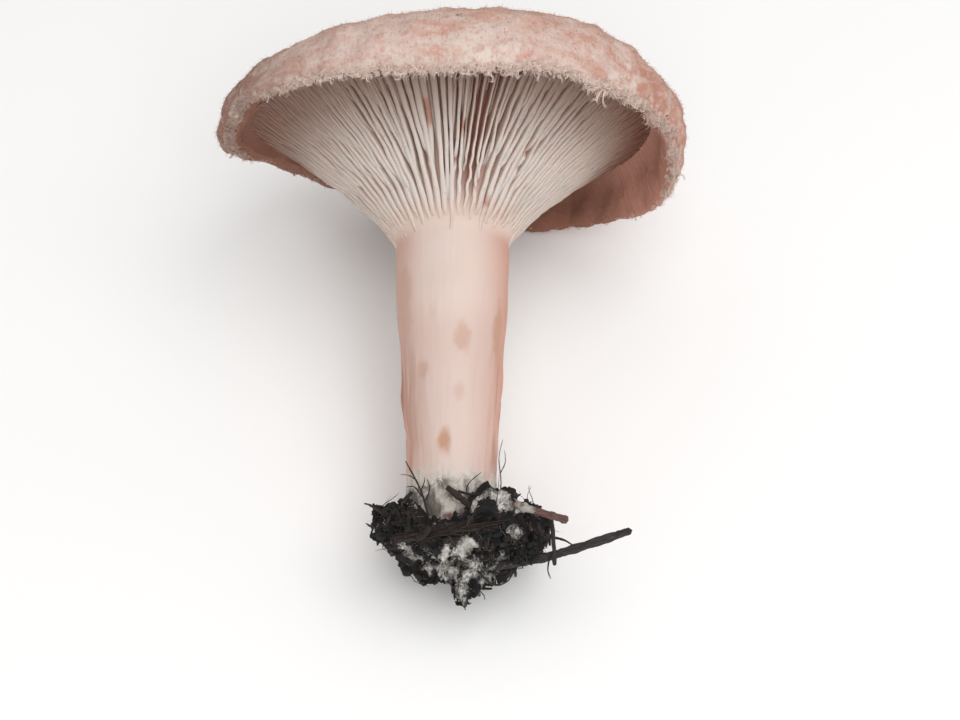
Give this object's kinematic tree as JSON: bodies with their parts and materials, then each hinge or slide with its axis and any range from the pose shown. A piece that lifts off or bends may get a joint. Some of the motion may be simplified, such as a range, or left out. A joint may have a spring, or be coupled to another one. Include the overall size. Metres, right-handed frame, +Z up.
{
  "type": "woolly milkcap mushroom",
  "caption": "Picked woolly milkcap lying on its side: funnel-dipped cap with a woolly rolled rim, close gills, a plain stem and a clump of forest soil at its foot.",
  "frame": {"origin": "on the surface it lies on, under the middle of its bounding box", "axes": "+Z up, +Y from the soil clump towards the cap, +X to the right as seen from the clump's end"},
  "size_m": [0.1034, 0.1282, 0.0945],
  "materials": {
    "mushroom_flesh": "matt pale pinkish skin, salmon zones on the cap, woolly at the rim",
    "forest_soil": "moist black leaf soil with white threads of the fungus",
    "dark_wood": "dark weathered twig",
    "red_wood": "reddish twig with thin bark",
    "bark": "rotten brown bark, fibrous",
    "root": "thin dark root"
  },
  "bodies": {
    "root": {"fruit_body": "mushroom_flesh", "soil_clump": "forest_soil", "twig_long": "dark_wood", "twig_red": "red_wood", "twig_stub": "bark", "root_left": "root", "root_right": "root", "bark_strip": "bark"}
  },
  "joints": []
}
